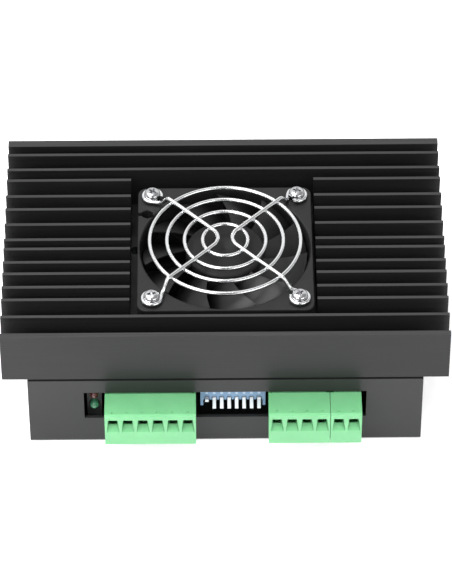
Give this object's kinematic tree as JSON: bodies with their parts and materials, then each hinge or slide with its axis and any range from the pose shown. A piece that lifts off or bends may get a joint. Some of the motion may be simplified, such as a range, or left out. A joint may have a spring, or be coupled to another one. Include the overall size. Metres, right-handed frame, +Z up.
{
  "type": "stepper motor driver",
  "caption": "Stepper motor driver with a finned black heatsink, a guarded cooling fan let into the fins, a steel cover, and plug-in green terminals and a DIP switch along the front.",
  "frame": {"origin": "on the resting plane, under the middle of the whole part's box", "axes": "+X along the fins to the right of the terminals as they are read from the front, +Y towards the back, +Z up from the cover to the fan guard; the terminals face -Y"},
  "size_m": [0.151, 0.1066, 0.0564],
  "materials": {
    "anodised_aluminium": "black anodised, satin",
    "coated_steel": "black powder coat, fine satin",
    "circuit_board": "green solder mask",
    "spacer_brass": "nickel-free turned brass",
    "screw_steel": "zinc plated",
    "pad_rubber": "grey thermal pad",
    "package_plastic": "moulded epoxy",
    "capacitor_sleeve": "shrink sleeve",
    "connector_plastic": "natural nylon",
    "terminal_green": "moulded green polyamide",
    "switch_blue": "moulded blue",
    "lever_white": "moulded white",
    "holder_plastic": "moulded black",
    "red_lens": "clear tinted epoxy",
    "green_lens": "clear tinted epoxy",
    "fan_plastic": "glass-filled black",
    "bearing_bronze": "sintered bronze",
    "stator_copper": "enamelled copper winding on a steel core",
    "guard_chrome": "bright plated wire and screws"
  },
  "bodies": {
    "driver": {"heatsink": "anodised_aluminium", "cover": "coated_steel", "control_board": "circuit_board", "board_spacer_1": "spacer_brass", "board_spacer_2": "spacer_brass", "board_spacer_3": "spacer_brass", "board_spacer_4": "spacer_brass", "cover_screw_1": "screw_steel", "cover_screw_2": "screw_steel", "cover_screw_3": "screw_steel", "cover_screw_4": "screw_steel", "thermal_pad": "pad_rubber", "power_transistor_1": "package_plastic", "power_transistor_2": "package_plastic", "power_transistor_3": "package_plastic", "power_transistor_4": "package_plastic", "capacitor_1": "capacitor_sleeve", "capacitor_2": "capacitor_sleeve", "processor": "package_plastic", "fan_header": "connector_plastic", "signal_header": "terminal_green", "motor_header": "terminal_green", "power_header": "terminal_green", "dip_switch_body": "switch_blue", "light_holder": "holder_plastic", "red_light": "red_lens", "green_light": "green_lens", "fan_frame": "fan_plastic", "fan_bearing": "bearing_bronze", "fan_stator": "stator_copper", "finger_guard": "guard_chrome", "fan_screw_1": "guard_chrome", "fan_screw_2": "guard_chrome", "fan_screw_3": "guard_chrome", "fan_screw_4": "guard_chrome"},
    "fan_impeller": {"fan_rotor": "fan_plastic", "fan_shaft": "screw_steel"},
    "lever_1": {"dip_lever_1": "lever_white"},
    "lever_2": {"dip_lever_2": "lever_white"},
    "lever_3": {"dip_lever_3": "lever_white"},
    "lever_4": {"dip_lever_4": "lever_white"},
    "lever_5": {"dip_lever_5": "lever_white"},
    "lever_6": {"dip_lever_6": "lever_white"},
    "lever_7": {"dip_lever_7": "lever_white"},
    "lever_8": {"dip_lever_8": "lever_white"},
    "signal_terminal": {"signal_plug": "terminal_green"},
    "signal_clamp_1": {"signal_clamp_screw_1": "screw_steel"},
    "signal_clamp_2": {"signal_clamp_screw_2": "screw_steel"},
    "signal_clamp_3": {"signal_clamp_screw_3": "screw_steel"},
    "signal_clamp_4": {"signal_clamp_screw_4": "screw_steel"},
    "signal_clamp_5": {"signal_clamp_screw_5": "screw_steel"},
    "signal_clamp_6": {"signal_clamp_screw_6": "screw_steel"},
    "motor_terminal": {"motor_plug": "terminal_green"},
    "motor_clamp_1": {"motor_clamp_screw_1": "screw_steel"},
    "motor_clamp_2": {"motor_clamp_screw_2": "screw_steel"},
    "motor_clamp_3": {"motor_clamp_screw_3": "screw_steel"},
    "motor_clamp_4": {"motor_clamp_screw_4": "screw_steel"},
    "power_terminal": {"power_plug": "terminal_green"},
    "power_clamp_1": {"power_clamp_screw_1": "screw_steel"},
    "power_clamp_2": {"power_clamp_screw_2": "screw_steel"}
  },
  "joints": [
    {"name": "fan_spin", "type": "hinge", "parent": "driver", "child": "fan_impeller", "pos_m": [0.0003, 0.0002, 0.0456], "axis": [0, 0, 1], "continuous": true},
    {"name": "lever_1_flip", "type": "hinge", "parent": "driver", "child": "lever_1", "pos_m": [-0.00634, -0.0403, 0.0184], "axis": [1, 0, 0], "range_deg": [0, 55]},
    {"name": "lever_2_flip", "type": "hinge", "parent": "driver", "child": "lever_2", "pos_m": [-0.0038, -0.0403, 0.0184], "axis": [1, 0, 0], "range_deg": [-55, 0]},
    {"name": "lever_3_flip", "type": "hinge", "parent": "driver", "child": "lever_3", "pos_m": [-0.00126, -0.0403, 0.0184], "axis": [1, 0, 0], "range_deg": [-55, 0]},
    {"name": "lever_4_flip", "type": "hinge", "parent": "driver", "child": "lever_4", "pos_m": [0.00128, -0.0403, 0.0184], "axis": [1, 0, 0], "range_deg": [-55, 0]},
    {"name": "lever_5_flip", "type": "hinge", "parent": "driver", "child": "lever_5", "pos_m": [0.00382, -0.0403, 0.0184], "axis": [1, 0, 0], "range_deg": [-55, 0]},
    {"name": "lever_6_flip", "type": "hinge", "parent": "driver", "child": "lever_6", "pos_m": [0.00636, -0.0403, 0.0184], "axis": [1, 0, 0], "range_deg": [-55, 0]},
    {"name": "lever_7_flip", "type": "hinge", "parent": "driver", "child": "lever_7", "pos_m": [0.0089, -0.0403, 0.0184], "axis": [1, 0, 0], "range_deg": [-55, 0]},
    {"name": "lever_8_flip", "type": "hinge", "parent": "driver", "child": "lever_8", "pos_m": [0.01144, -0.0403, 0.0184], "axis": [1, 0, 0], "range_deg": [-55, 0]},
    {"name": "signal_unplug", "type": "slide", "parent": "driver", "child": "signal_terminal", "axis": [0, -1, 0], "range_m": [0, 0.0105]},
    {"name": "signal_clamp_1_turn", "type": "hinge", "parent": "signal_terminal", "child": "signal_clamp_1", "pos_m": [-0.0382, -0.047, 0.0132], "axis": [0, 0, 1], "continuous": true},
    {"name": "signal_clamp_2_turn", "type": "hinge", "parent": "signal_terminal", "child": "signal_clamp_2", "pos_m": [-0.03312, -0.047, 0.0132], "axis": [0, 0, 1], "continuous": true},
    {"name": "signal_clamp_3_turn", "type": "hinge", "parent": "signal_terminal", "child": "signal_clamp_3", "pos_m": [-0.02804, -0.047, 0.0132], "axis": [0, 0, 1], "continuous": true},
    {"name": "signal_clamp_4_turn", "type": "hinge", "parent": "signal_terminal", "child": "signal_clamp_4", "pos_m": [-0.02296, -0.047, 0.0132], "axis": [0, 0, 1], "continuous": true},
    {"name": "signal_clamp_5_turn", "type": "hinge", "parent": "signal_terminal", "child": "signal_clamp_5", "pos_m": [-0.01788, -0.047, 0.0132], "axis": [0, 0, 1], "continuous": true},
    {"name": "signal_clamp_6_turn", "type": "hinge", "parent": "signal_terminal", "child": "signal_clamp_6", "pos_m": [-0.0128, -0.047, 0.0132], "axis": [0, 0, 1], "continuous": true},
    {"name": "motor_unplug", "type": "slide", "parent": "driver", "child": "motor_terminal", "axis": [0, -1, 0], "range_m": [0, 0.0105]},
    {"name": "motor_clamp_1_turn", "type": "hinge", "parent": "motor_terminal", "child": "motor_clamp_1", "pos_m": [0.01738, -0.047, 0.0132], "axis": [0, 0, 1], "continuous": true},
    {"name": "motor_clamp_2_turn", "type": "hinge", "parent": "motor_terminal", "child": "motor_clamp_2", "pos_m": [0.02246, -0.047, 0.0132], "axis": [0, 0, 1], "continuous": true},
    {"name": "motor_clamp_3_turn", "type": "hinge", "parent": "motor_terminal", "child": "motor_clamp_3", "pos_m": [0.02754, -0.047, 0.0132], "axis": [0, 0, 1], "continuous": true},
    {"name": "motor_clamp_4_turn", "type": "hinge", "parent": "motor_terminal", "child": "motor_clamp_4", "pos_m": [0.03262, -0.047, 0.0132], "axis": [0, 0, 1], "continuous": true},
    {"name": "power_unplug", "type": "slide", "parent": "driver", "child": "power_terminal", "axis": [0, -1, 0], "range_m": [0, 0.0105]},
    {"name": "power_clamp_1_turn", "type": "hinge", "parent": "power_terminal", "child": "power_clamp_1", "pos_m": [0.03826, -0.047, 0.0132], "axis": [0, 0, 1], "continuous": true},
    {"name": "power_clamp_2_turn", "type": "hinge", "parent": "power_terminal", "child": "power_clamp_2", "pos_m": [0.04334, -0.047, 0.0132], "axis": [0, 0, 1], "continuous": true}
  ]
}
